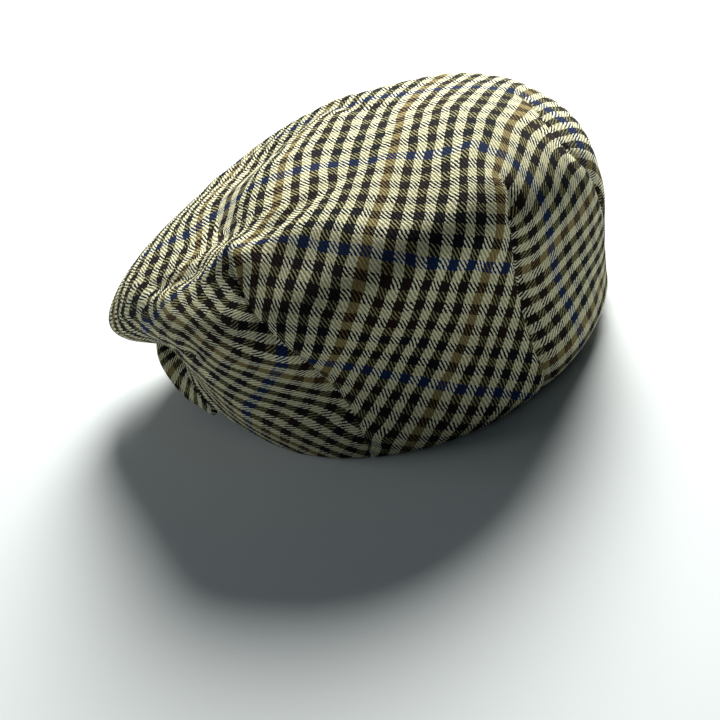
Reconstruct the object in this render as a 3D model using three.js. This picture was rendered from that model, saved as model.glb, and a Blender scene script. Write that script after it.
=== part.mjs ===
// One-piece cloth flat cap with a short covered peak.
// Millimetres, +X to the front, +Y to the wearer's left, +Z up, floor at z = 0.
// The crown is one hollow cloth wall; the peak is a curved board under its front.

import * as THREE from 'three';

const clothThickness = 2.0;
const boardThickness = 3.0;
const seatGap = 0.3;

// How the surfaces are cut into facets.
const bearingSteps = 90;
const outerSteps = 32;
const innerSteps = 22;
const peakSections = 36;
const peakStrips = 5;
const stretchesPerRow = 4;

// The crown's outer surface is given by half-profiles that run up the cloth.
// share says how far up the cloth a row lies: 0 at the rim, 1 at the middle of the top.
// Each column is one bearing round the head, from the front to the back, in millimetres
// out from the middle of the head and up from the floor.
const bearings = { front: 0, brow: 30, temple: 60, side: 90, nape: 135, back: 180 };

const reachRows = [
  { share: 0.00, front: 100, brow: 94, temple: 81, side: 84, nape: 94, back: 100 },
  { share: 0.10, front: 100, brow: 92, temple: 87, side: 88, nape: 100, back: 107 },
  { share: 0.22, front: 105, brow: 93, temple: 90, side: 87, nape: 98, back: 110 },
  { share: 0.35, front: 118, brow: 95, temple: 94, side: 90, nape: 95, back: 114 },
  { share: 0.48, front: 135, brow: 99, temple: 96, side: 94, nape: 95, back: 118 },
  { share: 0.60, front: 135, brow: 103, temple: 94, side: 88, nape: 96, back: 113 },
  { share: 0.72, front: 113, brow: 94, temple: 80, side: 72, nape: 80, back: 87 },
  { share: 0.86, front: 68, brow: 62, temple: 51, side: 47, nape: 47, back: 45 },
  { share: 1.00, front: 0, brow: 0, temple: 0, side: 0, nape: 0, back: 0 },
];

const heightRows = [
  { share: 0.00, front: 22, brow: 18, temple: 0, side: 0, nape: 0, back: 0 },
  { share: 0.10, front: 27, brow: 27, temple: 17, side: 16, nape: 10, back: 9 },
  { share: 0.22, front: 30, brow: 36, temple: 34, side: 34, nape: 27, back: 22 },
  { share: 0.35, front: 31, brow: 43, temple: 50, side: 53, nape: 47, back: 41 },
  { share: 0.48, front: 34, brow: 50, temple: 64, side: 69, nape: 69, back: 65 },
  { share: 0.60, front: 44, brow: 59, temple: 76, side: 83, nape: 88, back: 88 },
  { share: 0.72, front: 64, brow: 74, temple: 86, side: 93, nape: 100, back: 103 },
  { share: 0.86, front: 86, brow: 87, temple: 97, side: 103, nape: 106, back: 109 },
  { share: 1.00, front: 106, brow: 106, temple: 106, side: 106, nape: 106, back: 106 },
];

// Seams and creases run over the crown between listed places. depth is how far the cloth
// sinks there (below zero it stands up) and width is how far the dent spreads, in
// millimetres. Rows of one fold follow each other along it.
const foldRows = [
  { fold: 'front dart', bearing: 66, share: 0.82, depth: 0.3, width: 4 },
  { fold: 'front dart', bearing: 79, share: 0.67, depth: 1.2, width: 4 },
  { fold: 'front dart', bearing: 92, share: 0.47, depth: 1.2, width: 4 },
  { fold: 'front dart', bearing: 97, share: 0.26, depth: 1.0, width: 4 },
  { fold: 'front dart', bearing: 98, share: 0.0, depth: 0.5, width: 4 },
  { fold: 'rear dart', bearing: 160, share: 0.68, depth: 0.3, width: 4 },
  { fold: 'rear dart', bearing: 152, share: 0.57, depth: 1.2, width: 4 },
  { fold: 'rear dart', bearing: 150, share: 0.35, depth: 1.2, width: 4 },
  { fold: 'rear dart', bearing: 149, share: 0.0, depth: 0.5, width: 4 },
  { fold: 'far rear dart', bearing: 200, share: 0.7, depth: 0.3, width: 4 },
  { fold: 'far rear dart', bearing: 187, share: 0.67, depth: 0.8, width: 4 },
  { fold: 'far rear dart', bearing: 177, share: 0.6, depth: 1.2, width: 4 },
  { fold: 'far rear dart', bearing: 179, share: 0.47, depth: 1.2, width: 4 },
  { fold: 'far rear dart', bearing: 185, share: 0.26, depth: 1.0, width: 4 },
  { fold: 'far rear dart', bearing: 192, share: 0.0, depth: 0.5, width: 4 },
  { fold: 'front corner', bearing: 58, share: 0.8, depth: -2.5, width: 9 },
  { fold: 'front corner', bearing: 66, share: 0.81, depth: -5.0, width: 10 },
  { fold: 'front corner', bearing: 80, share: 0.76, depth: -2.0, width: 9 },
  { fold: 'far front corner', bearing: -30, share: 0.76, depth: -2.5, width: 10 },
  { fold: 'far front corner', bearing: -44, share: 0.77, depth: -2.0, width: 10 },
  { fold: 'far front corner', bearing: -66, share: 0.8, depth: -1.5, width: 10 },
  { fold: 'far front corner', bearing: -84, share: 0.78, depth: -1.5, width: 9 },
  { fold: 'side ridge', bearing: 66, share: 0.82, depth: -0.5, width: 7 },
  { fold: 'side ridge', bearing: 88, share: 0.82, depth: -1.0, width: 7 },
  { fold: 'side ridge', bearing: 110, share: 0.8, depth: -1.0, width: 8 },
  { fold: 'side ridge', bearing: 126, share: 0.7, depth: -1.2, width: 8 },
  { fold: 'side ridge', bearing: 142, share: 0.66, depth: -1.4, width: 8 },
  { fold: 'side ridge', bearing: 156, share: 0.68, depth: -1.8, width: 8 },
  { fold: 'top hollow', bearing: 62, share: 0.86, depth: 1.5, width: 9 },
  { fold: 'top hollow', bearing: 38, share: 0.89, depth: 2.5, width: 10 },
  { fold: 'top hollow', bearing: 0, share: 0.91, depth: 2.5, width: 10 },
  { fold: 'upper crease', bearing: 72, share: 0.83, depth: 1.0, width: 5 },
  { fold: 'upper crease', bearing: 84, share: 0.85, depth: 1.6, width: 5 },
  { fold: 'upper crease', bearing: 97, share: 0.88, depth: 1.8, width: 5 },
  { fold: 'upper crease', bearing: 115, share: 0.9, depth: 1.4, width: 6 },
  { fold: 'upper crease', bearing: 135, share: 0.91, depth: 0.8, width: 6 },
  { fold: 'upper crease', bearing: 155, share: 0.9, depth: 0, width: 6 },
  { fold: 'lower crease', bearing: 58, share: 0.81, depth: 0.6, width: 5 },
  { fold: 'lower crease', bearing: 47, share: 0.79, depth: 1.8, width: 5 },
  { fold: 'lower crease', bearing: 38, share: 0.77, depth: 2.2, width: 5 },
  { fold: 'lower crease', bearing: 30, share: 0.75, depth: 1.8, width: 5 },
  { fold: 'lower crease', bearing: 22, share: 0.73, depth: 0, width: 6 },
  { fold: 'back wrinkle', bearing: 175, share: 0.42, depth: 0.8, width: 5 },
  { fold: 'back wrinkle', bearing: 162, share: 0.47, depth: 1.0, width: 5 },
  { fold: 'back wrinkle', bearing: 151, share: 0.44, depth: 0.5, width: 5 },
];

// Every other fold is mirrored on the other side.
const oneSided = ['front corner', 'far front corner', 'rear dart', 'far rear dart', 'back wrinkle'];

// The peak hangs under the front of the rim. Each row is one bearing: reach is how far out
// the middle of its free edge lies and foot is how high.
const peakRows = [
  { bearing: 0, reach: 117, foot: 22 },
  { bearing: 10, reach: 113, foot: 20 },
  { bearing: 18, reach: 106.5, foot: 16 },
  { bearing: 26, reach: 99.5, foot: 11.5 },
  { bearing: 31, reach: 95, foot: 10.8 },
  { bearing: 38, reach: 91, foot: 10.6 },
];

const names = Object.keys(bearings);
const bearingList = names.map((name) => bearings[name]);
const shareList = reachRows.map((row) => row.share);

// Slopes of a smooth curve through unevenly spaced values.
function slopes(stations, values) {
  const last = stations.length - 1;
  const step = (i) => (values[i + 1] - values[i]) / (stations[i + 1] - stations[i]);
  const result = [];
  for (let i = 1; i < last; i += 1) {
    const before = stations[i] - stations[i - 1];
    const after = stations[i + 1] - stations[i];
    result[i] = (step(i - 1) * after + step(i) * before) / (before + after);
  }
  result[0] = 1.5 * step(0) - 0.5 * result[1];
  result[last] = 1.5 * step(last - 1) - 0.5 * result[last - 1];
  return result;
}

// Value of the smooth curve at one place.
function curve(stations, values, tangents, at) {
  let i = 0;
  while (i < stations.length - 2 && at >= stations[i + 1]) i += 1;
  const width = stations[i + 1] - stations[i];
  const s = (at - stations[i]) / width;
  const fromStart = (1 + 2 * s) * (1 - s) ** 2 * values[i];
  const startSlope = s * (1 - s) ** 2 * width * tangents[i];
  const fromEnd = s * s * (3 - 2 * s) * values[i + 1];
  const endSlope = s * s * (s - 1) * width * tangents[i + 1];
  return fromStart + startSlope + fromEnd + endSlope;
}

// One value of a table at a share and a bearing in degrees.
function tableValue(rows, share, bearing, flatAtTop) {
  const across = names.map((name) => {
    const values = rows.map((row) => row[name]);
    const tangents = slopes(shareList, values);
    if (flatAtTop) tangents[tangents.length - 1] = 0;
    return curve(shareList, values, tangents, share);
  });
  const tangents = slopes(bearingList, across);
  tangents[0] = 0;
  tangents[tangents.length - 1] = 0;
  return curve(bearingList, across, tangents, Math.abs(wrap(bearing)));
}

function wrap(bearing) {
  return bearing > 180 ? bearing - 360 : bearing;
}

// Point on the crown's smooth surface, before seams and creases dent it.
function smoothPoint(share, bearing) {
  const reach = tableValue(reachRows, share, bearing, false);
  const height = Math.max(tableValue(heightRows, share, bearing, true), 0);
  const angle = THREE.MathUtils.degToRad(bearing);
  return new THREE.Vector3(reach * Math.cos(angle), reach * Math.sin(angle), height);
}

// Outward normal of the smooth surface, from its neighbours.
function outward(share, bearing) {
  const small = 0.01;
  const low = Math.max(share - small, 0);
  const high = Math.min(share + small, 0.995);
  const up = smoothPoint(high, bearing).sub(smoothPoint(low, bearing));
  const round = smoothPoint(share, bearing + 1).sub(smoothPoint(share, bearing - 1));
  return round.cross(up).normalize();
}

// The straight stretches that follow one fold on one side of the cap.
function foldStretches(rows, side) {
  const places = [];
  for (let i = 0; i + 1 < rows.length; i += 1) {
    for (let k = 0; k <= stretchesPerRow; k += 1) {
      const mix = (name) => THREE.MathUtils.lerp(rows[i][name], rows[i + 1][name], k / stretchesPerRow);
      const point = smoothPoint(mix('share'), side * mix('bearing'));
      places.push({ point, depth: mix('depth'), width: mix('width') });
    }
  }
  return places.slice(1).map((to, i) => ({ from: places[i], to }));
}

function allFolds() {
  const folds = [];
  for (const name of new Set(foldRows.map((row) => row.fold))) {
    const rows = foldRows.filter((row) => row.fold === name);
    folds.push(foldStretches(rows, 1));
    if (!oneSided.includes(name)) folds.push(foldStretches(rows, -1));
  }
  return folds;
}

const folds = allFolds();

// How far the cloth sinks at a point: each fold acts from the nearest place along it.
function sink(point) {
  let total = 0;
  for (const stretches of folds) {
    let nearest = Infinity;
    let depth = 0;
    for (const { from, to } of stretches) {
      const along = to.point.clone().sub(from.point);
      const away = point.clone().sub(from.point);
      const ratio = away.dot(along) / Math.max(along.lengthSq(), 1e-9);
      const s = THREE.MathUtils.clamp(ratio, 0, 1);
      const distance = away.addScaledVector(along, -s).length();
      const spread = distance / THREE.MathUtils.lerp(from.width, to.width, s);
      if (spread < nearest) {
        nearest = spread;
        depth = THREE.MathUtils.lerp(from.depth, to.depth, s);
      }
    }
    total += depth * Math.exp(-nearest * nearest);
  }
  return total;
}

// Point on the crown's outer surface. bearing runs from -180 to 180 degrees.
function crownPoint(share, bearing) {
  const point = smoothPoint(share, bearing);
  if (share === 0 || share > 0.995) return point;
  return point.addScaledVector(outward(share, bearing), -sink(point));
}

// Point on the crown's inner surface, one cloth thickness inside the outer one.
function innerPoint(share, bearing) {
  if (share > 0.995) {
    return crownPoint(1, 0).add(new THREE.Vector3(0, 0, -clothThickness));
  }
  const normal = outward(share, bearing);
  if (share === 0) {
    normal.z = 0;
    normal.normalize();
  }
  return crownPoint(share, bearing).addScaledVector(normal, -clothThickness);
}

// Closed mesh from a list of points and triangles.
function solid(name, points, triangles, material) {
  const geometry = new THREE.BufferGeometry();
  const flat = points.flatMap((point) => [point.x, point.y, point.z]);
  geometry.setAttribute('position', new THREE.Float32BufferAttribute(flat, 3));
  geometry.setIndex(triangles);
  geometry.computeVertexNormals();
  const mesh = new THREE.Mesh(geometry, material);
  mesh.name = name;
  return mesh;
}

// Triangles of the band between two rings of the same length.
function band(first, second, count, outward, triangles) {
  for (let i = 0; i < count; i += 1) {
    const next = (i + 1) % count;
    const a = first + i;
    const b = first + next;
    const c = second + next;
    const d = second + i;
    if (outward) triangles.push(a, b, c, a, c, d);
    else triangles.push(a, c, b, a, d, c);
  }
}

function makeCrown(shift, material) {
  const points = [];
  const triangles = [];
  const moved = (point) => point.add(new THREE.Vector3(shift, 0, 0));
  const bearingAt = (i) => wrap((i * 360) / bearingSteps);
  const outerStart = [];
  for (let ring = 0; ring < outerSteps; ring += 1) {
    outerStart.push(points.length);
    for (let i = 0; i < bearingSteps; i += 1) {
      points.push(moved(crownPoint(ring / outerSteps, bearingAt(i))));
    }
  }
  const outerTop = points.length;
  points.push(moved(crownPoint(1, 0)));
  const innerStart = [];
  for (let ring = 0; ring < innerSteps; ring += 1) {
    innerStart.push(points.length);
    for (let i = 0; i < bearingSteps; i += 1) {
      points.push(moved(innerPoint(ring / innerSteps, bearingAt(i))));
    }
  }
  const innerTop = points.length;
  points.push(moved(innerPoint(1, 0)));

  for (let ring = 0; ring + 1 < outerSteps; ring += 1) {
    band(outerStart[ring], outerStart[ring + 1], bearingSteps, true, triangles);
  }
  for (let ring = 0; ring + 1 < innerSteps; ring += 1) {
    band(innerStart[ring], innerStart[ring + 1], bearingSteps, false, triangles);
  }
  band(outerStart[0], innerStart[0], bearingSteps, false, triangles);
  for (let i = 0; i < bearingSteps; i += 1) {
    const next = (i + 1) % bearingSteps;
    const outerRing = outerStart[outerSteps - 1];
    const innerRing = innerStart[innerSteps - 1];
    triangles.push(outerRing + i, outerRing + next, outerTop);
    triangles.push(innerRing + next, innerRing + i, innerTop);
  }
  return solid('crown', points, triangles, material);
}

// A value of the peak's table at a bearing.
function peakValue(name, bearing) {
  const stations = peakRows.map((row) => row.bearing);
  const values = peakRows.map((row) => row[name]);
  const tangents = slopes(stations, values);
  tangents[0] = 0;
  return curve(stations, values, tangents, Math.abs(bearing));
}

// One section of the peak, as distances out and heights: out along the underside, round the
// free edge and back along the top. Its inner end lies just under the rim's cloth.
function peakSection(bearing) {
  const half = boardThickness / 2;
  const rimHeight = smoothPoint(0, bearing).z;
  const innerReach = tableValue(reachRows, 0, bearing, false) - clothThickness / 2;
  const outerReach = peakValue('reach', bearing);
  const outerHeight = peakValue('foot', bearing);
  const fall = rimHeight - seatGap - half - outerHeight;
  const length = Math.hypot(outerReach - innerReach, fall);
  const aside = (half * fall) / length;
  const above = (half * (outerReach - innerReach)) / length;
  const innerHeight = rimHeight - seatGap - Math.abs(above);
  const section = [];
  const place = (s, face) => {
    const out = innerReach + (outerReach - innerReach) * s;
    const up = innerHeight + (outerHeight - innerHeight) * s;
    section.push([out + face * aside, up + face * above]);
  };
  for (let j = 0; j <= peakStrips; j += 1) place(j / peakStrips, -1);
  place(1 + (0.8 * half) / length, 0);
  for (let j = peakStrips; j >= 0; j -= 1) place(j / peakStrips, 1);
  return section;
}

function makePeak(shift, material) {
  const points = [];
  const triangles = [];
  const ends = peakRows[peakRows.length - 1].bearing;
  for (let i = 0; i <= peakSections; i += 1) {
    const bearing = -ends + (2 * ends * i) / peakSections;
    const angle = THREE.MathUtils.degToRad(bearing);
    for (const [out, up] of peakSection(bearing)) {
      points.push(new THREE.Vector3(out * Math.cos(angle) + shift, out * Math.sin(angle), up));
    }
  }
  const perSection = 2 * (peakStrips + 1) + 1;
  const last = peakSections * perSection;
  for (let i = 0; i < peakSections; i += 1) {
    band(i * perSection, (i + 1) * perSection, perSection, false, triangles);
  }
  for (let j = 1; j + 1 < perSection; j += 1) {
    triangles.push(0, j, j + 1);
    triangles.push(last, last + j + 1, last + j);
  }
  return solid('peak', points, triangles, material);
}

// Furthest that the crown reaches at one bearing.
function furthest(bearing) {
  let reach = 0;
  for (let i = 0; i <= 200; i += 1) {
    reach = Math.max(reach, tableValue(reachRows, i / 200, bearing, false));
  }
  return reach;
}

const cap = new THREE.Group();
cap.name = 'flat_cap';
const cloth = new THREE.MeshStandardMaterial({ color: 0x8a8470, roughness: 0.9, side: THREE.FrontSide });
cloth.name = 'check_cloth';

// The frame's origin is under the middle of the cap's length.
const middleShift = (furthest(180) - furthest(0)) / 2;
cap.add(makeCrown(middleShift, cloth));
cap.add(makePeak(middleShift, cloth));

export default cap;
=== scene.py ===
"""Looks of the check cloth flat cap: the sewn crown, the covered peak, the light and the camera.

Lengths in the tables are millimetres in the cap's own frame: +X to the front, +Y to the wearer's
left, +Z up. Bearings are degrees round the head, from the front towards the wearer's left.
"""

import math

import bpy
import numpy as np
from mathutils import Matrix, Vector

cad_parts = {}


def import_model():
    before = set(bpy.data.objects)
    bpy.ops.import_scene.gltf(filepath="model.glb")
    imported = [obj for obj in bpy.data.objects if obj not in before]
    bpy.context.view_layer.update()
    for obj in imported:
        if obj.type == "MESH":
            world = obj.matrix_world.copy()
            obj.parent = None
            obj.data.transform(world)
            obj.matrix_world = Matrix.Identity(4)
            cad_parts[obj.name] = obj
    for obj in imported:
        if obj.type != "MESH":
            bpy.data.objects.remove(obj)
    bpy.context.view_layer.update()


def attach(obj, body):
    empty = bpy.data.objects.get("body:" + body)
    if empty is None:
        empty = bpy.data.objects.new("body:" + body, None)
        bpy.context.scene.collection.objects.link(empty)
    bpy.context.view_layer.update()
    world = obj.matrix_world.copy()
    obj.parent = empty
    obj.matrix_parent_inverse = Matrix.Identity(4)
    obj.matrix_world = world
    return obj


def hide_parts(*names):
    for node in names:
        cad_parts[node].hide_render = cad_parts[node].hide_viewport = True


MM = 0.001

# ---------------------------------------------------------------- the crown's form

CLOTH_THICKNESS = 2.0
BOARD_THICKNESS = 3.0
SEAT_GAP = 0.3

# Half-profiles up the cloth, one column for each bearing. share is 0 at the rim and 1 at the middle
# of the top.
BEARINGS = {"front": 0, "brow": 30, "temple": 60, "side": 90, "nape": 135, "back": 180}

REACH_ROWS = [
    {"share": 0.00, "front": 100, "brow": 94, "temple": 81, "side": 84, "nape": 94, "back": 100},
    {"share": 0.10, "front": 100, "brow": 92, "temple": 87, "side": 88, "nape": 100, "back": 107},
    {"share": 0.22, "front": 105, "brow": 93, "temple": 90, "side": 87, "nape": 98, "back": 110},
    {"share": 0.35, "front": 118, "brow": 95, "temple": 94, "side": 90, "nape": 95, "back": 114},
    {"share": 0.48, "front": 135, "brow": 99, "temple": 96, "side": 94, "nape": 95, "back": 118},
    {"share": 0.60, "front": 135, "brow": 103, "temple": 94, "side": 88, "nape": 96, "back": 113},
    {"share": 0.72, "front": 113, "brow": 94, "temple": 80, "side": 72, "nape": 80, "back": 87},
    {"share": 0.86, "front": 68, "brow": 62, "temple": 51, "side": 47, "nape": 47, "back": 45},
    {"share": 1.00, "front": 0, "brow": 0, "temple": 0, "side": 0, "nape": 0, "back": 0},
]

HEIGHT_ROWS = [
    {"share": 0.00, "front": 22, "brow": 18, "temple": 0, "side": 0, "nape": 0, "back": 0},
    {"share": 0.10, "front": 27, "brow": 27, "temple": 17, "side": 16, "nape": 10, "back": 9},
    {"share": 0.22, "front": 30, "brow": 36, "temple": 34, "side": 34, "nape": 27, "back": 22},
    {"share": 0.35, "front": 31, "brow": 43, "temple": 50, "side": 53, "nape": 47, "back": 41},
    {"share": 0.48, "front": 34, "brow": 50, "temple": 64, "side": 69, "nape": 69, "back": 65},
    {"share": 0.60, "front": 44, "brow": 59, "temple": 76, "side": 83, "nape": 88, "back": 88},
    {"share": 0.72, "front": 64, "brow": 74, "temple": 86, "side": 93, "nape": 100, "back": 103},
    {"share": 0.86, "front": 86, "brow": 87, "temple": 97, "side": 103, "nape": 106, "back": 109},
    {"share": 1.00, "front": 106, "brow": 106, "temple": 106, "side": 106, "nape": 106, "back": 106},
]

# Where the dart seams run: the bearing of each at some shares, from the rim to the apex and on to
# the top. The far front dart mirrors the front one.
DART_ROWS = [
    {"share": 0.00, "front": 98, "rear": 148.5, "far_rear": 192},
    {"share": 0.16, "front": 99.5, "rear": 149, "far_rear": 189},
    {"share": 0.26, "front": 97.3, "rear": 149, "far_rear": 185},
    {"share": 0.38, "front": 93.8, "rear": 149.7, "far_rear": 180},
    {"share": 0.47, "front": 91.5, "rear": 150.5, "far_rear": 179},
    {"share": 0.53, "front": 89, "rear": 151.5, "far_rear": 178.5},
    {"share": 0.60, "front": 84.8, "rear": 153, "far_rear": 177},
    {"share": 0.65, "front": 80.5, "rear": 157.5, "far_rear": 181},
    {"share": 0.70, "front": 77, "rear": 160, "far_rear": 200},
    {"share": 0.82, "front": 66, "rear": 160, "far_rear": 200},
    {"share": 1.00, "front": 60, "rear": 160, "far_rear": 200},
]
DART_APEX = {"front": 0.82, "rear": 0.68, "far_rear": 0.70, "far_front": 0.82}

# Seams and creases: depth is how far the cloth sinks there (below zero it stands up), and width is
# how far the dent spreads.
FOLD_ROWS = [
    {"fold": "front dart", "bearing": 66, "share": 0.82, "depth": 0.3, "width": 4},
    {"fold": "front dart", "bearing": 79, "share": 0.67, "depth": 1.2, "width": 4},
    {"fold": "front dart", "bearing": 92, "share": 0.47, "depth": 1.2, "width": 4},
    {"fold": "front dart", "bearing": 97, "share": 0.26, "depth": 1.0, "width": 4},
    {"fold": "front dart", "bearing": 98, "share": 0.0, "depth": 0.5, "width": 4},
    {"fold": "rear dart", "bearing": 160, "share": 0.68, "depth": 0.3, "width": 4},
    {"fold": "rear dart", "bearing": 152, "share": 0.57, "depth": 1.2, "width": 4},
    {"fold": "rear dart", "bearing": 150, "share": 0.35, "depth": 1.2, "width": 4},
    {"fold": "rear dart", "bearing": 149, "share": 0.0, "depth": 0.5, "width": 4},
    {"fold": "far rear dart", "bearing": 200, "share": 0.7, "depth": 0.3, "width": 4},
    {"fold": "far rear dart", "bearing": 187, "share": 0.67, "depth": 0.8, "width": 4},
    {"fold": "far rear dart", "bearing": 177, "share": 0.6, "depth": 1.2, "width": 4},
    {"fold": "far rear dart", "bearing": 179, "share": 0.47, "depth": 1.2, "width": 4},
    {"fold": "far rear dart", "bearing": 185, "share": 0.26, "depth": 1.0, "width": 4},
    {"fold": "far rear dart", "bearing": 192, "share": 0.0, "depth": 0.5, "width": 4},
    {"fold": "front corner", "bearing": 58, "share": 0.8, "depth": -2.5, "width": 9},
    {"fold": "front corner", "bearing": 66, "share": 0.81, "depth": -5.0, "width": 10},
    {"fold": "front corner", "bearing": 80, "share": 0.76, "depth": -2.0, "width": 9},
    {"fold": "far front corner", "bearing": -30, "share": 0.76, "depth": -2.5, "width": 10},
    {"fold": "far front corner", "bearing": -44, "share": 0.77, "depth": -2.0, "width": 10},
    {"fold": "far front corner", "bearing": -66, "share": 0.8, "depth": -1.5, "width": 10},
    {"fold": "far front corner", "bearing": -84, "share": 0.78, "depth": -1.5, "width": 9},
    {"fold": "side ridge", "bearing": 66, "share": 0.82, "depth": -0.5, "width": 7},
    {"fold": "side ridge", "bearing": 88, "share": 0.82, "depth": -1.0, "width": 7},
    {"fold": "side ridge", "bearing": 110, "share": 0.8, "depth": -1.0, "width": 8},
    {"fold": "side ridge", "bearing": 126, "share": 0.7, "depth": -1.2, "width": 8},
    {"fold": "side ridge", "bearing": 142, "share": 0.66, "depth": -1.4, "width": 8},
    {"fold": "side ridge", "bearing": 156, "share": 0.68, "depth": -1.8, "width": 8},
    {"fold": "top hollow", "bearing": 62, "share": 0.86, "depth": 1.5, "width": 9},
    {"fold": "top hollow", "bearing": 38, "share": 0.89, "depth": 2.5, "width": 10},
    {"fold": "top hollow", "bearing": 0, "share": 0.91, "depth": 2.5, "width": 10},
    {"fold": "upper crease", "bearing": 72, "share": 0.83, "depth": 1.0, "width": 5},
    {"fold": "upper crease", "bearing": 84, "share": 0.85, "depth": 1.6, "width": 5},
    {"fold": "upper crease", "bearing": 97, "share": 0.88, "depth": 1.8, "width": 5},
    {"fold": "upper crease", "bearing": 115, "share": 0.9, "depth": 1.4, "width": 6},
    {"fold": "upper crease", "bearing": 135, "share": 0.91, "depth": 0.8, "width": 6},
    {"fold": "upper crease", "bearing": 155, "share": 0.9, "depth": 0, "width": 6},
    {"fold": "lower crease", "bearing": 58, "share": 0.81, "depth": 0.6, "width": 5},
    {"fold": "lower crease", "bearing": 47, "share": 0.79, "depth": 1.8, "width": 5},
    {"fold": "lower crease", "bearing": 38, "share": 0.77, "depth": 2.2, "width": 5},
    {"fold": "lower crease", "bearing": 30, "share": 0.75, "depth": 1.8, "width": 5},
    {"fold": "lower crease", "bearing": 22, "share": 0.73, "depth": 0, "width": 6},
    {"fold": "back wrinkle", "bearing": 175, "share": 0.42, "depth": 0.8, "width": 5},
    {"fold": "back wrinkle", "bearing": 162, "share": 0.47, "depth": 1.0, "width": 5},
    {"fold": "back wrinkle", "bearing": 151, "share": 0.44, "depth": 0.5, "width": 5},
]
ONE_SIDED = ["front corner", "far front corner", "rear dart", "far rear dart", "back wrinkle"]
STRETCHES_PER_ROW = 4

# The smooth surface's normal is taken over this share up and this many degrees round.
NORMAL_SHARE = 0.01
NORMAL_TURN = 1
NORMAL_TOP = 0.995

# The narrow groove that the stitching pulls into each dart seam.
SEAM_DEPTH = 0.9
SEAM_WIDTH = 1.3
SEAM_STRETCHES = 24
SEAM_CROWDING = 0.7
SEAM_FADE = 0.06

# ---------------------------------------------------------------- how the cloth lies

# The check counts its dark columns from the rear dart forwards and its dark rows from the left of
# the middle down. HOLD is how firmly the listed places pull on the cloth.
COLUMN_PITCH = 8.3
ROW_PITCH = 8.9
HOLD = 5.0
LEAST_STIFFNESS = 0.01

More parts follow.
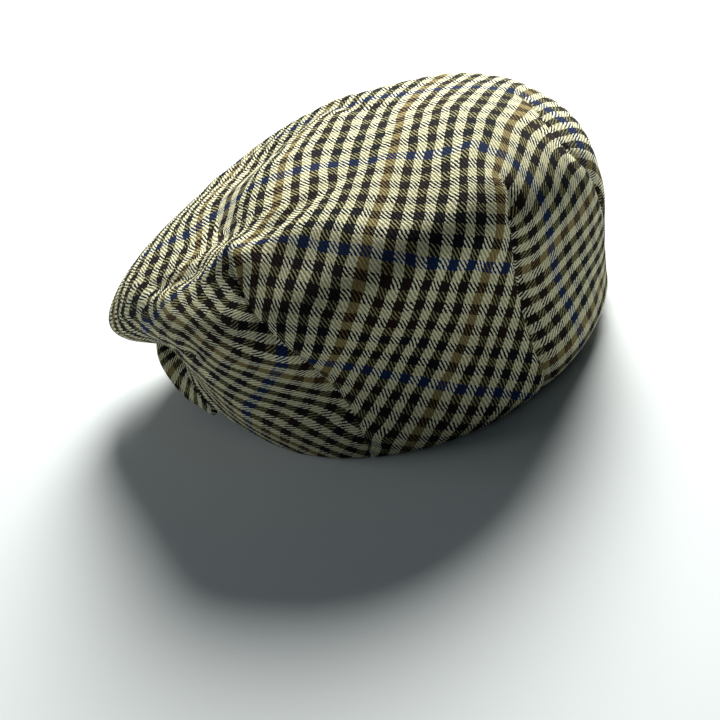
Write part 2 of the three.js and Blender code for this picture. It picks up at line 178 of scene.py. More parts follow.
# Where the stripes lie: the check's column and row at each bearing, ring by ring in each panel.
CLOTH_ROWS = [
    {"panel": "top", "share": 0.9, "bearings": [0, 15, 30, 45, 60],
     "columns": [16.2, 16.1, 14.9, 13.8, 13.0], "rows": [-0.9, 0.3, 1.9, 2.3, 1.8]},
    {"panel": "top", "share": 0.9, "bearings": [75, 90, 105, 120, 135],
     "columns": [12.1, 11.2, 10, 8.9, 8], "rows": [1.8, 1.8, 1.7, 1.5, 0.8]},
    {"panel": "top", "share": 0.9, "bearings": [150, 165, 180, 195, 240],
     "columns": [7.4, 7.1, 7, 6.9, 8.1], "rows": [-0.2, -1.2, -2.2, -3, -4.5]},
    {"panel": "top", "share": 0.9, "bearings": [255, 270, 285, 300, 315],
     "columns": [9, 10, 11, 12.1, 13], "rows": [-4.7, -4.7, -4.5, -4, -3]},
    {"panel": "side", "share": 0.8, "bearings": [75, 90, 105, 120, 135],
     "columns": [11.4, 10, 8.7, 7.2, 5.9], "rows": [6.7, 6.3, 5.4, 4.3, 2.7]},
    {"panel": "side", "share": 0.8, "bearings": [150, 157.5, 165, 172.5, 180, 195],
     "columns": [4.5, 4, 3.6, 3.2, 3, 3], "rows": [0.9, 0.1, -0.5, -1, -1.7, -3]},
    {"panel": "side", "share": 0.75, "bearings": [150, 157.5, 165, 172.5, 180],
     "columns": [3.3, 2.5, 1.7, 1.4, 1.2], "rows": [1.6, 1.1, 0.5, -0.6, -1.8]},
    {"panel": "side", "share": 0.7, "bearings": [90, 105, 120, 135, 150, 165],
     "columns": [9.7, 8, 6.1, 4.2, 2.2, 0.1], "rows": [7.8, 6.9, 5.8, 4.3, 2.7, 0.3]},
    {"panel": "side", "share": 0.6, "bearings": [90, 105, 120, 135, 150],
     "columns": [9.4, 7.4, 5.2, 2.7, 0.1], "rows": [9.3, 8.2, 7, 5.6, 4.2]},
    {"panel": "side", "share": 0.5, "bearings": [105, 120, 135],
     "columns": [6.4, 4.2, 1.7], "rows": [10, 8.1, 6.9]},
    {"panel": "side", "share": 0.4, "bearings": [105, 120, 135],
     "columns": [5.3, 3, 0.6], "rows": [11.3, 10, 8.4]},
    {"panel": "side", "share": 0.3, "bearings": [105, 120, 135],
     "columns": [4, 1.6, -0.8], "rows": [12.7, 11.5, 10]},
    {"panel": "side", "share": 0.2, "bearings": [105, 120, 135],
     "columns": [2.7, 0.2, -2.2], "rows": [14, 12.9, 11.5]},
    {"panel": "side", "share": 0.1, "bearings": [105, 120, 135],
     "columns": [1.2, -1.1, -3.5], "rows": [15.3, 14.2, 12.9]},
    {"panel": "back", "share": 0.7, "bearings": [165, 172.5, 180],
     "columns": [0.1, -0.4, -0.6], "rows": [0.4, -1.2, -2.2]},
    {"panel": "back", "share": 0.6, "bearings": [155, 165, 172],
     "columns": [-1.8, -3, -3.8], "rows": [1.3, -1, -3]},
    {"panel": "back", "share": 0.5, "bearings": [155, 165, 172],
     "columns": [-4.7, -5.7, -6.1], "rows": [1.2, -1.3, -3.1]},
    {"panel": "back", "share": 0.4, "bearings": [155, 165],
     "columns": [-7.2, -8.3], "rows": [1, -1.6]},
    {"panel": "back", "share": 0.3, "bearings": [155, 165, 172],
     "columns": [-9.4, -10.3, -11], "rows": [1.2, -1, -2.7]},
    {"panel": "back", "share": 0.2, "bearings": [155, 165],
     "columns": [-11, -11.7], "rows": [1.5, -0.5]},
    {"panel": "back", "share": 0.1, "bearings": [155, 165],
     "columns": [-13, -13.2], "rows": [1.3, -0.6]},
    {"panel": "front", "share": 0.8, "bearings": [0, 15, 30, 45],
     "columns": [21.1, 20.8, 19.6, 18], "rows": [-1, 0.7, 2, 2.5]},
    {"panel": "front", "share": 0.85, "bearings": [20, 30, 40],
     "columns": [19, 18.2, 17.3], "rows": [0.3, 1, 1.4]},
    {"panel": "front", "share": 0.75, "bearings": [20, 30, 40, 50, 60, 70],
     "columns": [21.4, 20.3, 16.8, 15.5, 14.1, 12.7], "rows": [2.4, 3.5, 5.7, 6.5, 7.2, 7.7]},
    {"panel": "front", "share": 0.65, "bearings": [20, 30, 40, 50, 60, 70],
     "columns": [21.1, 19.8, 19.2, 18, 16.8, 14.9], "rows": [4.8, 5.9, 6.3, 7, 7.7, 8.5]},
    {"panel": "front", "share": 0.7, "bearings": [15, 30, 45, 60, 75],
     "columns": [22.1, 20.7, 17.4, 15.1, 13], "rows": [3, 4.3, 6.5, 7.5, 8.5]},
    {"panel": "front", "share": 0.6, "bearings": [30, 45, 60, 75],
     "columns": [21.4, 20.1, 18.6, 15.1], "rows": [6.1, 6.8, 7.8, 9]},
    {"panel": "front", "share": 0.5, "bearings": [40, 50, 60, 75],
     "columns": [22.1, 22.2, 21.3, 17.3], "rows": [7, 7.7, 8.6, 9.7]},
    {"panel": "front", "share": 0.4, "bearings": [60, 75, 90],
     "columns": [21.6, 19, 16.9], "rows": [9.4, 10.8, 12.3]},
    {"panel": "front", "share": 0.3, "bearings": [60, 75, 90],
     "columns": [21.8, 20.1, 18.6], "rows": [10.5, 11.8, 13.5]},
    {"panel": "front", "share": 0.2, "bearings": [60, 75, 90],
     "columns": [22.6, 22, 20.7], "rows": [11.4, 13, 14.6]},
]

# ---------------------------------------------------------------- the peak

# reach is how far out the middle of the free edge lies and foot how high, at each bearing.
PEAK_ROWS = [
    {"bearing": 0, "reach": 117, "foot": 22},
    {"bearing": 10, "reach": 113, "foot": 20},
    {"bearing": 18, "reach": 106.5, "foot": 16},
    {"bearing": 26, "reach": 99.5, "foot": 11.5},
    {"bearing": 31, "reach": 95, "foot": 10.8},
    {"bearing": 38, "reach": 91, "foot": 10.6},
]

PEAK_CLOTH_TURN = 45

# ---------------------------------------------------------------- the cloth's looks

# Colours in linear light. The cream of the weft is deeper, and deeper still where a dark column
# crosses it: partly the dark fibres lying over the weft, partly painted shade on the weft sunk
# between the dark threads. A dark stripe is DARK_SHARE of the pitch wide and takes the next colour
# of its list.
WARP_CREAM = (0.84, 0.82, 0.60)
WEFT_CREAM = (0.66, 0.61, 0.30)
BURIED_AND_SHADED_CREAM = (0.52, 0.48, 0.22)
TAN = (0.23, 0.155, 0.055)
BROWN = (0.017, 0.008, 0.006)
BLACK = (0.004, 0.005, 0.008)
BLUE = (0.006, 0.027, 0.11)
COLUMN_COLOURS = [TAN, BLACK, BROWN, BLACK, BROWN, BLACK]
ROW_COLOURS = [BLUE, BROWN, BLACK, BROWN, BLACK, BROWN]
DARK_SHARE = 0.5

# The twill: diagonal ribs to each cell, and the share of each rib that shows warp.
TWILL_LINES = 4.5
WARP_SHARES = {"cream": 0.5, "dark": 0.68, "crossing": 0.25}
RIB_SHADE = 0.5
RIB_BUMP = 0.5
RIB_HEIGHT = 0.0003

# Unevenness, each as a noise over the flat cloth, whose unit is one cell.
COLUMN_SWAY = {"scale": 0.7, "detail": 1.0, "strength": 0.25}
ROW_SWAY = {"scale": 0.9, "detail": 1.0, "strength": 0.25}
RAGGED_EDGE = {"scale": 9.0, "detail": 2.0, "strength": 0.07}
FLECK = {"scale": 14.0, "detail": 2.0, "strength": 0.4}
FUZZ = {"scale": 20.0, "detail": 2.0}

CLOTH_ROUGHNESS = 0.9
CLOTH_SPECULAR = 0.1

# ---------------------------------------------------------------- how finely things are cut

SECTION_STEPS = [84, 64, 44, 72, 72]
OUTER_ROWS = 170
INNER_ROWS = 36
HEM_ROWS = 6
OUTER_SHARES = (0.008, 0.985)
INNER_SHARES = (0.012, 0.97)
HEM_SHARE = 0.02
TOP_SHARE = 0.994
FLAT_STEPS = [18, 10, 6, 14, 18]
FLAT_ROWS = {"rear": 23, "front": 7, "top": 7}
FLAT_TOP_SHARE = 0.97
FLAT_ROUNDS = 120
PEAK_SECTIONS = 150
PEAK_STRIPS = 24
PEAK_ROLL_STEPS = 10

# ---------------------------------------------------------------- light and camera

FLOOR_REACH = 6.0
FLOOR_COLOUR = (0.60, 0.63, 0.64)
FLOOR_ROUGHNESS = 0.8
WORLD_COLOUR = (0.80, 1.0, 1.15)
WORLD_STRENGTH = 0.05
LIGHTS = {
    "key": {"place": (-0.15, -1.55, 1.1), "aim": (0, 0, 0.05), "size": 1.1, "power": 112,
            "colour": (1, 1, 0.96)},
    "fill": {"place": (1.5, 0.1, 0.6), "aim": (0.05, 0, 0.03), "size": 1.0, "power": 6,
             "colour": (0.96, 1, 1)},
}

CAMERA_PLACE = (-258.6, 497.3, 366.8)
CAMERA_AIM = (-1.6, 21.8, 5.9)
CAMERA_ROLL = -22.9
CAMERA_LENS = 69.4
CAMERA_SENSOR = 36


def column(rows, name):
    return np.array([row[name] for row in rows], float)


def slopes(stations, values):
    """Slopes of a smooth curve through unevenly spaced values, or of many curves side by side."""
    shape = (-1,) + (1,) * (values.ndim - 1)
    gap = np.diff(stations).reshape(shape)
    rise = np.diff(values, axis=0) / gap
    result = np.empty_like(values)
    result[1:-1] = (rise[:-1] * gap[1:] + rise[1:] * gap[:-1]) / (gap[1:] + gap[:-1])
    result[0] = 1.5 * rise[0] - 0.5 * result[1]
    result[-1] = 1.5 * rise[-1] - 0.5 * result[-2]
    return result


def cubic(s, width, start, end, start_slope, end_slope):
    """A cubic across a gap of this width, at the fraction s of it."""
    first = (1 + 2 * s) * (1 - s) ** 2 * start + s * (1 - s) ** 2 * width * start_slope
    return first + s * s * (3 - 2 * s) * end + s * s * (s - 1) * width * end_slope


def between(stations, values, tangents, at):
    """Values of smooth curves at the places at, which run along the first axis of the result."""
    i = np.clip(np.searchsorted(stations, at, side="right") - 1, 0, len(stations) - 2)
    shape = (-1,) + (1,) * (values.ndim - 1)
    width = (stations[i + 1] - stations[i]).reshape(shape)
    s = (at - stations[i]).reshape(shape) / width
    return cubic(s, width, values[i], values[i + 1], tangents[i], tangents[i + 1])


def smooth_curve(stations, values, at):
    return between(stations, values, slopes(stations, values), np.asarray(at, float))


def profile_values(rows, share, bearing, flat_at_top):
    """The value of a profile table at every share and bearing."""
    stations = column(rows, "share")
    values = np.stack([column(rows, name) for name in BEARINGS], axis=1)
    tangents = slopes(stations, values)
    if flat_at_top:
        tangents[-1] = 0
    across = between(stations, values, tangents, share.ravel())
    angles = np.array(list(BEARINGS.values()), float)
    turn = slopes(angles, across.T)
    turn[0] = 0
    turn[-1] = 0
    folded = np.abs((bearing.ravel() + 180) % 360 - 180)
    i = np.clip(np.searchsorted(angles, folded, side="right") - 1, 0, len(angles) - 2)
    n = np.arange(folded.size)
    width = angles[i + 1] - angles[i]
    s = (folded - angles[i]) / width
    value = cubic(s, width, across[n, i], across[n, i + 1], turn[i, n], turn[i + 1, n])
    return value.reshape(share.shape)


def smooth_place(share, bearing):
    """Places on the crown's smooth surface, before seams and creases dent it."""
    share, bearing = np.broadcast_arrays(np.asarray(share, float), np.asarray(bearing, float))
    reach = profile_values(REACH_ROWS, share, bearing, False)
    height = np.maximum(profile_values(HEIGHT_ROWS, share, bearing, True), 0)
    angle = np.radians(bearing)
    return np.stack([reach * np.cos(angle), reach * np.sin(angle), height], axis=-1)


def unit(vectors):
    return vectors / np.maximum(np.linalg.norm(vectors, axis=-1, keepdims=True), 1e-9)


def outward(share, bearing):
    """Outward normals of the smooth surface."""
    low = np.maximum(share - NORMAL_SHARE, 0)
    high = np.minimum(share + NORMAL_SHARE, NORMAL_TOP)
    up = smooth_place(high, bearing) - smooth_place(low, bearing)
    along = smooth_place(share, bearing + NORMAL_TURN) - smooth_place(share, bearing - NORMAL_TURN)
    return unit(np.cross(along, up))


def fold_lines(rows, one_sided):
    """Each fold as a run of places with depths and widths, on both sides where it is mirrored."""
    lines = []
    for name in dict.fromkeys(row["fold"] for row in rows):
        own = [row for row in rows if row["fold"] == name]
        steps = np.linspace(0, len(own) - 1, (len(own) - 1) * STRETCHES_PER_ROW + 1)
        at = {key: np.interp(steps, range(len(own)), column(own, key))
              for key in ("bearing", "share", "depth", "width")}
        for side in (1,) if name in one_sided else (1, -1):
            places = smooth_place(at["share"], side * at["bearing"])
            lines.append((places, at["depth"], at["width"]))
    return lines


def sink(places, lines):
    """How far the cloth sinks at each place: each fold acts from the nearest place along it."""
    total = np.zeros(places.shape[:-1])
    for line, depths, widths in lines:
        nearest = np.full(total.shape, np.inf)
        depth = np.zeros(total.shape)
        for i in range(len(line) - 1):
            along = line[i + 1] - line[i]
            away = places - line[i]
            s = np.clip(away @ along / max(along @ along, 1e-9), 0, 1)
            distance = np.linalg.norm(away - s[..., None] * along, axis=-1)
            spread = distance / (widths[i] + (widths[i + 1] - widths[i]) * s)
            closer = spread < nearest
            nearest = np.where(closer, spread, nearest)
            depth = np.where(closer, depths[i] + (depths[i + 1] - depths[i]) * s, depth)
        total += depth * np.exp(-nearest ** 2)
    return total


def seam_lines():
    """The grooves along the dart seams, which fade out at the apexes."""
    lines = []
    for k, apex in enumerate(DART_APEX.values()):
        share = np.linspace(0, apex, SEAM_STRETCHES)
        bearing = section_edges(share)[k + 1]
        depth = SEAM_DEPTH * np.clip((apex - share) / SEAM_FADE, 0, 1)
        lines.append((smooth_place(share, bearing), depth, np.full(SEAM_STRETCHES, SEAM_WIDTH)))
    return lines


def crown_place(share, bearing, lines):
    places = smooth_place(share, bearing)
    return places - outward(share, bearing) * sink(places, lines)[..., None]


# ---------------------------------------------------------------- laying the cloth flat

def section_edges(share):
    """Bearings of the section boundaries: the front middle, the four darts, the front middle."""
    stations = column(DART_ROWS, "share")
    front, rear, far_rear = (
        smooth_curve(stations, column(DART_ROWS, name), share)
        for name in ("front", "rear", "far_rear"))
    return [np.zeros_like(share), front, rear, far_rear, 360 - front, np.full_like(share, 360)]


def section_shares():
    """Shares of the flattening grid's rows, with a row at each dart apex."""
    rear, front = DART_APEX["rear"], DART_APEX["front"]
    parts = [
        np.linspace(0, rear, FLAT_ROWS["rear"]),
        np.linspace(rear, front, FLAT_ROWS["front"]),
        np.linspace(front, FLAT_TOP_SHARE, FLAT_ROWS["top"]),
        [DART_APEX["far_rear"]],
    ]
    return np.unique(np.round(np.concatenate(parts), 5))


class FlatCloth:
    """The crown's cloth cut along its darts and laid flat with as little stretch as it can."""

    def __init__(self, lines):
        self.shares = section_shares()
        edges = section_edges(self.shares)
        apexes = list(DART_APEX.values())
        rows = len(self.shares)
        places = []
        numbers = []
        for k, steps in enumerate(FLAT_STEPS):
            s = np.linspace(0, 1, steps + 1)[:, None]
            bearing = edges[k] + (edges[k + 1] - edges[k]) * s
            place = crown_place(np.broadcast_to(self.shares, bearing.shape), bearing, lines)
            number = np.empty(bearing.shape, int)
            for i in range(steps + 1):
                for j in range(rows):
                    shared = k > 0 and i == 0 and self.shares[j] >= apexes[k - 1] - 1e-6
                    closing = k == len(FLAT_STEPS) - 1 and i == steps
                    if shared:
                        number[i, j] = numbers[k - 1][-1, j]
                    elif closing:
                        number[i, j] = numbers[0][0, j]
                    else:
                        number[i, j] = len(places)
                        places.append(place[i, j])
            numbers.append(number)
        self.numbers = numbers
        self.pole = len(places)
        places.append(smooth_place(np.array([1.0]), np.array([0.0]))[0])
        self.places = np.array(places)
        self.triangles = self.cut_triangles()
        self.flat = self.relax(self.first_guess(edges))

    def cut_triangles(self):
        triangles = []
        for number in self.numbers:
            for i in range(number.shape[0] - 1):
                for j in range(number.shape[1] - 1):
                    a, b = number[i, j], number[i + 1, j]
                    c, d = number[i + 1, j + 1], number[i, j + 1]
                    triangles += [(a, b, c), (a, c, d)] if (i + j) % 2 else [(a, b, d), (b, c, d)]
                triangles.append((number[i, -1], number[i + 1, -1], self.pole))
        return np.array(triangles)

    def first_guess(self, edges):
        """Each meridian laid straight out from the pole, in its own direction."""
        guess = np.zeros((len(self.places), 2))
        for k, number in enumerate(self.numbers):
            pole = np.broadcast_to(self.places[self.pole], (len(number), 1, 3))
            ladder = np.concatenate([self.places[number], pole], axis=1)
            steps = np.linalg.norm(np.diff(ladder, axis=1), axis=2)
            out = np.cumsum(steps[:, ::-1], axis=1)[:, ::-1]
            turns = np.linspace(0, 1, len(number))[:, None]
            angle = np.radians(edges[k][-1] + (edges[k + 1][-1] - edges[k][-1]) * turns)
            guess[number] = np.stack([out * np.cos(angle), out * np.sin(angle)], axis=-1)
        return guess

    def held_places(self):
        """The grid corners that hold each listed place, their shares of it, and its flat place."""
        corners, shares_of, targets = [], [], []
        for ring in CLOTH_ROWS:
            edges = [edge[0] for edge in section_edges(np.array([ring["share"]]))]
            for bearing, across, down in zip(ring["bearings"], ring["columns"], ring["rows"]):
                k = min(np.searchsorted(edges, bearing, side="right") - 1, len(FLAT_STEPS) - 1)
                number = self.numbers[k]
                i_at = (bearing - edges[k]) / (edges[k + 1] - edges[k]) * FLAT_STEPS[k]
                j_at = np.interp(ring["share"], self.shares, range(len(self.shares)))
                i, j = min(int(i_at), FLAT_STEPS[k] - 1), min(int(j_at), len(self.shares) - 2)
                a, b = i_at - i, j_at - j
                corners.append([number[i, j], number[i + 1, j],
                                number[i, j + 1], number[i + 1, j + 1]])
                shares_of.append([(1 - a) * (1 - b), a * (1 - b), (1 - a) * b, a * b])
                targets.append([across * COLUMN_PITCH, down * ROW_PITCH])
        return np.array(corners), np.array(shares_of), np.array(targets)

    def relax(self, flat):
        """Turns every triangle to fit its neighbours, again and again, so that lengths keep."""
        places, triangles, count = self.places, self.triangles, len(self.places)
        a, b, c = (places[triangles[:, k]] for k in range(3))
        first = b - a
        length = np.linalg.norm(first, axis=1, keepdims=True)
        across = unit(np.cross(unit(np.cross(first, c - a)), first))
        own = np.zeros((len(triangles), 3, 2))
        own[:, 1, 0] = length[:, 0]
        own[:, 2, 0] = ((c - a) * first / length).sum(1)
        own[:, 2, 1] = ((c - a) * across).sum(1)
        stiffness = np.zeros((count, count))
        weights = []
        for k in range(3):
            i, j = triangles[:, (k + 1) % 3], triangles[:, (k + 2) % 3]
            u, v = own[:, (k + 1) % 3] - own[:, k], own[:, (k + 2) % 3] - own[:, k]
            area = np.abs(u[:, 0] * v[:, 1] - u[:, 1] * v[:, 0])
            weight = np.maximum(0.5 * (u * v).sum(1) / area, LEAST_STIFFNESS)
            weights.append(weight)
            np.add.at(stiffness, (i, j), -weight)
            np.add.at(stiffness, (j, i), -weight)
            np.add.at(stiffness, (i, i), weight)
            np.add.at(stiffness, (j, j), weight)
        corners, parts, targets = self.held_places()
        for corner, part in zip(corners, parts):
            stiffness[np.ix_(corner, corner)] += HOLD * np.outer(part, part)
        inverse = np.linalg.inv(stiffness)
        flat = self.line_up(flat, corners, parts, targets)
        for _ in range(FLAT_ROUNDS):
            mix = np.zeros((len(triangles), 2, 2))
            for k in range(3):
                i, j = (k + 1) % 3, (k + 2) % 3
                moved = flat[triangles[:, i]] - flat[triangles[:, j]]
                edge = own[:, i] - own[:, j]
                mix += weights[k][:, None, None] * moved[:, :, None] * edge[:, None, :]
            cosine, sine = mix[:, 0, 0] + mix[:, 1, 1], mix[:, 1, 0] - mix[:, 0, 1]
            size = np.hypot(cosine, sine) + 1e-12
            cosine, sine = cosine / size, sine / size
            pull = np.zeros((count, 2))
            for k in range(3):
                i, j = (k + 1) % 3, (k + 2) % 3
                edge = own[:, i] - own[:, j]
                turned = np.stack([cosine * edge[:, 0] - sine * edge[:, 1],
                                   sine * edge[:, 0] + cosine * edge[:, 1]], axis=-1)
                turned *= weights[k][:, None]
                np.add.at(pull, triangles[:, i], turned)
                np.add.at(pull, triangles[:, j], -turned)
            for corner, part, target in zip(corners, parts, targets):
                np.add.at(pull, corner, HOLD * part[:, None] * target)
            flat = inverse @ pull
        return flat

    def line_up(self, flat, corners, parts, targets):
        """Turns and shifts the first guess so that the listed places come near where they belong."""
        now = (flat[corners] * parts[:, :, None]).sum(1)
        middle, goal = now.mean(0), targets.mean(0)
        if np.linalg.det((now - middle).T @ (targets - goal)) < 0:
            flat = flat * [1, -1]
            now = now * [1, -1]
            middle = now.mean(0)
        u, _, v = np.linalg.svd((now - middle).T @ (targets - goal))
        return (flat - middle) @ u @ v + goal

    def at(self, k, turns, shares):
        """Flat places in section k, on a grid of fractions across it by shares."""
        number = self.numbers[k]
        pole = np.broadcast_to(self.flat[self.pole], (len(number), 1, 2))
        known = np.concatenate([self.flat[number], pole], axis=1)
        stations = np.append(self.shares, 1.0)
        up = smooth_curve(stations, known.transpose(1, 0, 2), shares)
        return smooth_curve(np.linspace(0, 1, len(number)), up.transpose(1, 0, 2), turns)


# ---------------------------------------------------------------- meshes

def crowded(steps, start, end):
    """Fractions from 0 to 1 that crowd towards the ends that are seams."""
    t = np.linspace(0, 1, steps + 1)
    if start and end:
        return t - SEAM_CROWDING * np.sin(2 * math.pi * t) / (2 * math.pi)
    wave = SEAM_CROWDING * np.sin(math.pi * t) / math.pi
    return t + wave if end else t - wave


def mesh_object(name, vertices, faces, cloth_places, material, shift):
    """A mesh from vertices in millimetres, with one flat place, in cells, for each face corner."""
    mesh = bpy.data.meshes.new(name)
    mesh.from_pydata(((vertices + [shift, 0, 0]) * MM).tolist(), [], faces)
    mesh.materials.append(material)
    weave = mesh.uv_layers.new(name="weave")
    weave.data.foreach_set("uv", np.asarray(cloth_places, np.float32).ravel())
    mesh.polygons.foreach_set("use_smooth", [True] * len(faces))
    mesh.update()
    found = bpy.data.objects.new(name, mesh)
    bpy.context.scene.collection.objects.link(found)
    return found


def section_grid(k, turns, shares):
    """Shares and bearings over section k, on a grid of fractions across it by shares."""
    edges = section_edges(shares)
    bearing = edges[k] + (edges[k + 1] - edges[k]) * turns[:, None]
    return np.broadcast_to(shares, bearing.shape), bearing


def crown_strip(k, turns, lines):
    """Section k from the top down its outside, round the rolled rim and up its inside."""
    outer = crown_place(*section_grid(k, turns, np.linspace(*OUTER_SHARES, OUTER_ROWS)), lines)
    radius = CLOTH_THICKNESS / 2
    share, bearing = section_grid(k, turns, np.array([0.0]))
    side = outward(share, bearing)[:, 0]
    side[:, 2] = 0
    side = unit(side)
    middle = smooth_place(share, bearing)[:, 0] - side * radius + [0, 0, radius]
    swing = np.linspace(0, math.pi, HEM_ROWS + 1)[:, None, None]
    hem = middle + radius * (np.cos(swing) * side - np.sin(swing) * [0, 0, 1])
    share, bearing = section_grid(k, turns, np.linspace(*INNER_SHARES, INNER_ROWS))
    inner = smooth_place(share, bearing) - outward(share, bearing) * CLOTH_THICKNESS
    return np.concatenate([outer[:, ::-1], hem.transpose(1, 0, 2), inner], axis=1)


def crown_flat(k, turns, cloth):
    """Where that strip lies on the flat cloth. The inside is the same cloth from behind."""
    outer = cloth.at(k, turns, np.linspace(*OUTER_SHARES, OUTER_ROWS))
    edge = cloth.at(k, turns, np.array([0.0, HEM_SHARE]))
    down = unit(edge[:, 0] - edge[:, 1])
    turned_under = np.linspace(0, math.pi, HEM_ROWS + 1)[:, None] * CLOTH_THICKNESS / 2
    hem = edge[:, :1] + down[:, None] * turned_under[None]
    inner = cloth.at(k, turns, np.linspace(*INNER_SHARES, INNER_ROWS)) * [1, -1]
    return np.concatenate([outer[:, ::-1], hem, inner], axis=1)


def make_crown(material, shift):
    folds = fold_lines(FOLD_ROWS, ONE_SIDED)
    cloth = FlatCloth(folds)
    lines = folds + seam_lines()
    cell = [COLUMN_PITCH, ROW_PITCH]
    strips, flats = [], []
    for k, steps in enumerate(SECTION_STEPS):
        turns = crowded(steps, k > 0, k < len(SECTION_STEPS) - 1)
        strips.append(crown_strip(k, turns, lines))
        flats.append(crown_flat(k, turns, cloth) / cell)
    round_places = np.concatenate([strip[:-1] for strip in strips])
    total, per_turn = round_places.shape[:2]
    top = total * per_turn
    top_place = crown_place(np.array([TOP_SHARE]), np.array([0.0]), lines)[0] * [0, 0, 1]
    top_flat = cloth.flat[cloth.pole] / cell
    vertices = np.concatenate(
        [round_places.reshape(-1, 3), [top_place], [top_place - [0, 0, CLOTH_THICKNESS]]])
    faces, corners = [], []
    start = 0
    for flat in flats:
        for i in range(len(flat) - 1):
            here = (start + i) * per_turn
            after = ((start + i + 1) % total) * per_turn
            for j in range(per_turn - 1):
                faces.append((here + j, here + j + 1, after + j + 1, after + j))
                corners += [flat[i, j], flat[i, j + 1], flat[i + 1, j + 1], flat[i + 1, j]]
            faces.append((here, after, top))
            corners += [flat[i, 0], flat[i + 1, 0], top_flat]
            faces.append((after + per_turn - 1, here + per_turn - 1, top + 1))
            corners += [flat[i + 1, -1], flat[i, -1], top_flat * [1, -1]]
        start += len(flat) - 1
    return mesh_object("crown_cloth", vertices, faces, corners, material, shift)


def peak_values(name, bearing):
    stations, values = column(PEAK_ROWS, "bearing"), column(PEAK_ROWS, name)
    tangents = slopes(stations, values)
    tangents[0] = 0
    return between(stations, values, tangents, np.abs(bearing))


def make_peak(material, shift):
    """The covered board under the front: a closed strip round each section, with a rolled edge."""
    end = PEAK_ROWS[-1]["bearing"]
    bearing = np.linspace(-end, end, PEAK_SECTIONS + 1)
    angle = np.radians(bearing)
    half = BOARD_THICKNESS / 2
    rim = smooth_place(np.zeros_like(bearing), bearing)
    inner_reach = np.hypot(rim[:, 0], rim[:, 1]) - CLOTH_THICKNESS / 2
    reach, foot = peak_values("reach", bearing), peak_values("foot", bearing)
    fall = rim[:, 2] - SEAT_GAP - half - foot
    length = np.hypot(reach - inner_reach, fall)
    aside = fall / length
    above = (reach - inner_reach) / length
    inner_height = rim[:, 2] - SEAT_GAP - half * np.abs(above)
    along = np.linspace(0, 1, PEAK_STRIPS + 1)
    roll = np.linspace(-90, 90, PEAK_ROLL_STEPS + 1)[1:-1]
    path = [(s, 0, -1) for s in along]
    path += [(1, math.cos(math.radians(turn)), math.sin(math.radians(turn))) for turn in roll]
    path += [(s, 0, 1) for s in along[::-1]]
    rows = []
    laid = []
    for s, ahead, face in path:
        out = inner_reach + (reach - inner_reach) * s + half * (ahead * above + face * aside)
        up = inner_height + (foot - inner_height) * s + half * (face * above - ahead * aside)
        rows.append(np.stack([out * np.cos(angle), out * np.sin(angle), up], axis=-1))
        from_head = inner_reach + length * s + half * ahead
        turn = np.radians(bearing + PEAK_CLOTH_TURN)
        place = np.stack([from_head * np.cos(turn), from_head * np.sin(turn)], axis=-1)
        laid.append(place / [COLUMN_PITCH, ROW_PITCH])
    ring = np.stack(rows, axis=1)
    flat = np.stack(laid, axis=1)
    per_turn = ring.shape[1]
    faces, corners = [], []
    for i in range(PEAK_SECTIONS):
        for j in range(per_turn):
            j_next = (j + 1) % per_turn
            here, after = i * per_turn, (i + 1) * per_turn
            faces.append((here + j, here + j_next, after + j_next, after + j))
            corners += [flat[i, j], flat[i, j_next], flat[i + 1, j_next], flat[i + 1, j]]
    faces.append(tuple(range(per_turn - 1, -1, -1)))
    corners += [flat[0, j] for j in faces[-1]]
    last = PEAK_SECTIONS * per_turn
    faces.append(tuple(last + j for j in range(per_turn)))
    corners += [flat[-1, j] for j in range(per_turn)]
    return mesh_object("peak_cloth", ring.reshape(-1, 3), faces, corners, material, shift)


# ---------------------------------------------------------------- the cloth's looks

class Nodes:
    """A material's nodes, with short names for the kinds used here."""

    def __init__(self, name):
        self.material = bpy.data.materials.new(name)
        self.material.use_nodes = True
        self.tree = self.material.node_tree
        self.tree.nodes.clear()

    def add(self, kind, **settings):
        node = self.tree.nodes.new(kind)
        for key, value in settings.items():
            setattr(node, key, value)
        return node

    def put(self, value, socket):
        if isinstance(value, bpy.types.NodeSocket):
            self.tree.links.new(value, socket)
        else:
            socket.default_value = value

    def math(self, operation, *values):
        node = self.add("ShaderNodeMath", operation=operation)
        for value, socket in zip(values, node.inputs):
            self.put(value, socket)
        return node.outputs[0]

    def mix(self, factor, first, second):
        node = self.add("ShaderNodeMix", data_type="RGBA")
        self.put(factor, node.inputs[0])
        self.put(first, node.inputs[6])
        self.put(second, node.inputs[7])
        return node.outputs[2]

    def noise(self, place, kind):
        node = self.add("ShaderNodeTexNoise")
        self.put(place, node.inputs["Vector"])
        self.put(kind["scale"], node.inputs["Scale"])
        self.put(kind["detail"], node.inputs["Detail"])
        return node.outputs["Fac"]

    def sway(self, place, kind):
        """A noise about zero, as strong as its kind says."""
        about_zero = self.math("SUBTRACT", self.noise(place, kind), 0.5)
        return self.math("MULTIPLY", about_zero, kind["strength"])

    def pick(self, where, colours):
        """The colour whose turn it is: where runs from 0 to 1 over the list."""
        ramp = self.add("ShaderNodeValToRGB")
        ramp.color_ramp.interpolation = "CONSTANT"
        stops = ramp.color_ramp.elements
        stops.remove(stops[1])
        stops[0].position = 0
        stops[0].color = (*colours[0], 1)
        for k, colour in enumerate(colours[1:], 1):
            stop = stops.new(k / len(colours))
            stop.color = (*colour, 1)
        self.put(where, ramp.inputs[0])
        return ramp.outputs[0]


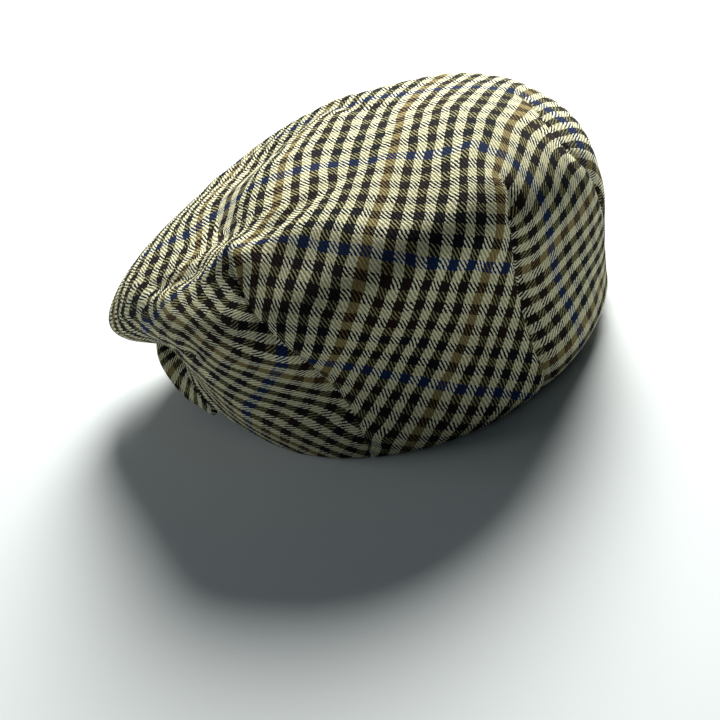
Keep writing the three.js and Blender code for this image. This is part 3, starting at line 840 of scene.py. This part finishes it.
def threads(nodes, at, cream, colours):
    """Colour of the threads at a column or row: coloured near whole numbers and cream between."""
    nearest = nodes.math("FLOOR", nodes.math("ADD", at, 0.5))
    off = nodes.math("ABSOLUTE", nodes.math("SUBTRACT", at, nearest))
    coloured = nodes.math("LESS_THAN", off, DARK_SHARE / 2)
    safely_past = nodes.math("ADD", nearest, 0.01)
    turn = nodes.math("FRACT", nodes.math("DIVIDE", safely_past, float(len(colours))))
    return nodes.mix(coloured, cream, nodes.pick(turn, colours)), coloured


def make_cloth():
    nodes = Nodes("check_cloth")
    laid = nodes.add("ShaderNodeUVMap", uv_map="weave").outputs[0]
    axes = nodes.add("ShaderNodeSeparateXYZ")
    nodes.put(laid, axes.inputs[0])
    ragged = nodes.sway(laid, RAGGED_EDGE)
    columns, rows = (
        nodes.math("ADD", nodes.math("ADD", axis, nodes.sway(laid, kind)), ragged)
        for axis, kind in ((axes.outputs[0], COLUMN_SWAY), (axes.outputs[1], ROW_SWAY)))
    warp, dark_warp = threads(nodes, columns, (*WARP_CREAM, 1), COLUMN_COLOURS)
    # Under a dark column the weft takes the deeper cream: partly dark fibres over it, partly painted
    # shade between the dark threads.
    weft_cream_and_shade = nodes.mix(dark_warp, (*WEFT_CREAM, 1), (*BURIED_AND_SHADED_CREAM, 1))
    weft, dark_weft = threads(nodes, rows, weft_cream_and_shade, ROW_COLOURS)
    crossing = nodes.math("MULTIPLY", dark_warp, dark_weft)
    cream, dark, crossed = (WARP_SHARES[name] for name in ("cream", "dark", "crossing"))
    warp_share = nodes.math("MULTIPLY_ADD", dark_warp, dark - cream, cream)
    warp_share = nodes.math("MULTIPLY_ADD", crossing, crossed - dark, warp_share)
    slant = nodes.math("ADD", columns, rows)
    diagonal = nodes.math("FRACT", nodes.math("MULTIPLY", slant, TWILL_LINES))
    over = nodes.math("LESS_THAN", diagonal, warp_share)
    colour = nodes.mix(over, weft, warp)
    from_middle = nodes.math("SUBTRACT", diagonal, cream / 2)
    wave = nodes.math("COSINE", nodes.math("MULTIPLY", from_middle, 2 * math.pi))
    shade = nodes.math("MULTIPLY_ADD", wave, RIB_SHADE / 2, 1 - RIB_SHADE / 2)
    strength = FLECK["strength"]
    fleck = nodes.math("MULTIPLY_ADD", nodes.noise(laid, FLECK), strength, 1 - strength / 2)
    shade = nodes.math("MULTIPLY", shade, fleck)
    tone = nodes.add("ShaderNodeHueSaturation")
    nodes.put(colour, tone.inputs["Color"])
    nodes.put(shade, tone.inputs["Value"])
    bump = nodes.add("ShaderNodeBump")
    bump.inputs["Strength"].default_value = RIB_BUMP
    bump.inputs["Distance"].default_value = RIB_HEIGHT
    nodes.put(nodes.math("ADD", wave, nodes.noise(laid, FUZZ)), bump.inputs["Height"])
    shader = nodes.add("ShaderNodeBsdfPrincipled")
    shader.inputs["Roughness"].default_value = CLOTH_ROUGHNESS
    shader.inputs["Specular IOR Level"].default_value = CLOTH_SPECULAR
    nodes.put(tone.outputs[0], shader.inputs["Base Color"])
    nodes.put(bump.outputs[0], shader.inputs["Normal"])
    out = nodes.add("ShaderNodeOutputMaterial")
    nodes.put(shader.outputs[0], out.inputs[0])
    return nodes.material


# ---------------------------------------------------------------- floor, light and camera

def floor_paint():
    material = bpy.data.materials.new("floor_paint")
    material.use_nodes = True
    shader = material.node_tree.nodes["Principled BSDF"]
    shader.inputs["Base Color"].default_value = (*FLOOR_COLOUR, 1)
    shader.inputs["Roughness"].default_value = FLOOR_ROUGHNESS
    return material


def make_floor():
    mesh = bpy.data.meshes.new("floor")
    far = FLOOR_REACH
    corners = [(-far, -far, 0), (far, -far, 0), (far, far, 0), (-far, far, 0)]
    mesh.from_pydata(corners, [], [(0, 1, 2, 3)])
    mesh.materials.append(floor_paint())
    floor = bpy.data.objects.new("floor", mesh)
    bpy.context.scene.collection.objects.link(floor)


def make_light(name, place, aim, size, power, colour):
    light = bpy.data.lights.new(name, "AREA")
    light.shape = "DISK"
    light.size = size
    light.energy = power
    light.color = colour
    holder = bpy.data.objects.new(name, light)
    holder.location = place
    holder.rotation_euler = (Vector(aim) - Vector(place)).to_track_quat("-Z", "Y").to_euler()
    bpy.context.scene.collection.objects.link(holder)


def make_world():
    world = bpy.data.worlds.new("studio")
    world.use_nodes = True
    sky = world.node_tree.nodes["Background"]
    sky.inputs[0].default_value = (*WORLD_COLOUR, 1)
    sky.inputs[1].default_value = WORLD_STRENGTH
    bpy.context.scene.world = world
    bpy.context.scene.view_settings.view_transform = "Standard"


def make_camera():
    camera = bpy.data.cameras.new("camera")
    camera.lens = CAMERA_LENS
    camera.sensor_width = CAMERA_SENSOR
    holder = bpy.data.objects.new("camera", camera)
    place, aim = Vector(CAMERA_PLACE) * MM, Vector(CAMERA_AIM) * MM
    turn = (aim - place).to_track_quat("-Z", "Y").to_matrix().to_4x4()
    roll = Matrix.Rotation(math.radians(CAMERA_ROLL), 4, "Z")
    holder.matrix_world = Matrix.Translation(place) @ turn @ roll
    bpy.context.scene.collection.objects.link(holder)
    bpy.context.scene.camera = holder


def furthest(bearing):
    """How far the crown reaches out at a bearing, over its whole height."""
    share = np.linspace(0, 1, 201)
    return profile_values(REACH_ROWS, share, np.full_like(share, bearing), False).max()


def main():
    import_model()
    cloth = make_cloth()
    shift = (furthest(180) - furthest(0)) / 2
    crown = make_crown(cloth, shift)
    peak = make_peak(cloth, shift)
    for piece, node in ((crown, "crown"), (peak, "peak")):
        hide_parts(node)
        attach(piece, "root")
    make_floor()
    make_world()
    for name, settings in LIGHTS.items():
        make_light(name, **settings)
    make_camera()


main()
